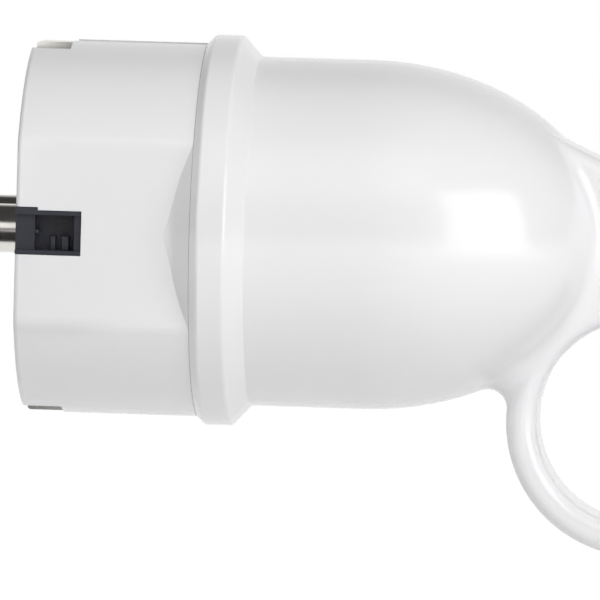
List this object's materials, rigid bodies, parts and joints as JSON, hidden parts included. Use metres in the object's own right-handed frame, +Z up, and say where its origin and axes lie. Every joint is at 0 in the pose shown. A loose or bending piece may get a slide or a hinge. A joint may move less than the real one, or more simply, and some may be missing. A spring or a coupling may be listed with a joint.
{
  "type": "mains plug",
  "caption": "Round mains plug with two contact pins, side earth contacts, a domed rear shell, a cable neck and a finger ring for pulling it out.",
  "frame": {"origin": "centre of the front face, on the plug's axis midway between the pins", "axes": "+X runs along the plug's axis from the front face to the cable neck, the pins stand on the Y line and point to -X, and +Z is up, with the finger ring below"},
  "size_m": [0.096, 0.0388, 0.0504],
  "materials": {
    "white_plastic": "glossy white moulded plastic",
    "black_plastic": "dark moulded plastic, slightly glossy",
    "nickel_plate": "polished nickel plate",
    "brass": "turned and milled brass",
    "zinc_steel": "bright zinc-plated steel",
    "fibre": "red vulcanised fibre"
  },
  "bodies": {
    "plug_body": {"front_shell": "white_plastic", "contact_carrier": "black_plastic", "live_pin": "nickel_plate", "neutral_pin": "nickel_plate", "live_terminal": "brass", "neutral_terminal": "brass", "earth_terminal": "brass", "earth_contact": "nickel_plate", "earth_rivet": "brass", "top_retaining_washer": "fibre", "bottom_retaining_washer": "fibre"},
    "rear_cover": {"rear_shell": "white_plastic", "top_nut": "brass", "bottom_nut": "brass"},
    "top_screw": {"top_assembly_screw": "zinc_steel"},
    "bottom_screw": {"bottom_assembly_screw": "zinc_steel"},
    "live_screw": {"live_terminal_screw": "zinc_steel"},
    "neutral_screw": {"neutral_terminal_screw": "zinc_steel"},
    "earth_screw": {"earth_terminal_screw": "zinc_steel"},
    "cord_strap": {"clamp_strap": "black_plastic"},
    "left_strap_screw": {"left_clamp_screw": "zinc_steel"},
    "right_strap_screw": {"right_clamp_screw": "zinc_steel"}
  },
  "joints": [
    {"name": "cover_slide", "type": "slide", "parent": "plug_body", "child": "rear_cover", "axis": [1, 0, 0], "range_m": [0, 0.03]},
    {"name": "top_screw_turn", "type": "hinge", "parent": "plug_body", "child": "top_screw", "pos_m": [0.003, 0, 0.011], "axis": [-1, 0, 0], "continuous": true},
    {"name": "bottom_screw_turn", "type": "hinge", "parent": "plug_body", "child": "bottom_screw", "pos_m": [0.003, 0, -0.011], "axis": [-1, 0, 0], "continuous": true},
    {"name": "live_screw_turn", "type": "hinge", "parent": "plug_body", "child": "live_screw", "pos_m": [0.02135, -0.0095, 0.005], "axis": [0, 0, 1], "continuous": true},
    {"name": "neutral_screw_turn", "type": "hinge", "parent": "plug_body", "child": "neutral_screw", "pos_m": [0.02135, 0.0095, 0.005], "axis": [0, 0, 1], "continuous": true},
    {"name": "earth_screw_turn", "type": "hinge", "parent": "plug_body", "child": "earth_screw", "pos_m": [0.0224, 0, 0.005], "axis": [0, 0, 1], "continuous": true},
    {"name": "strap_slide", "type": "slide", "parent": "plug_body", "child": "cord_strap", "axis": [0, 0, -1], "range_m": [0, 0.0009]},
    {"name": "left_strap_screw_turn", "type": "hinge", "parent": "plug_body", "child": "left_strap_screw", "pos_m": [0.03475, -0.0076, 0.003], "axis": [0, 0, 1], "continuous": true},
    {"name": "right_strap_screw_turn", "type": "hinge", "parent": "plug_body", "child": "right_strap_screw", "pos_m": [0.03475, 0.0076, 0.003], "axis": [0, 0, 1], "continuous": true}
  ]
}
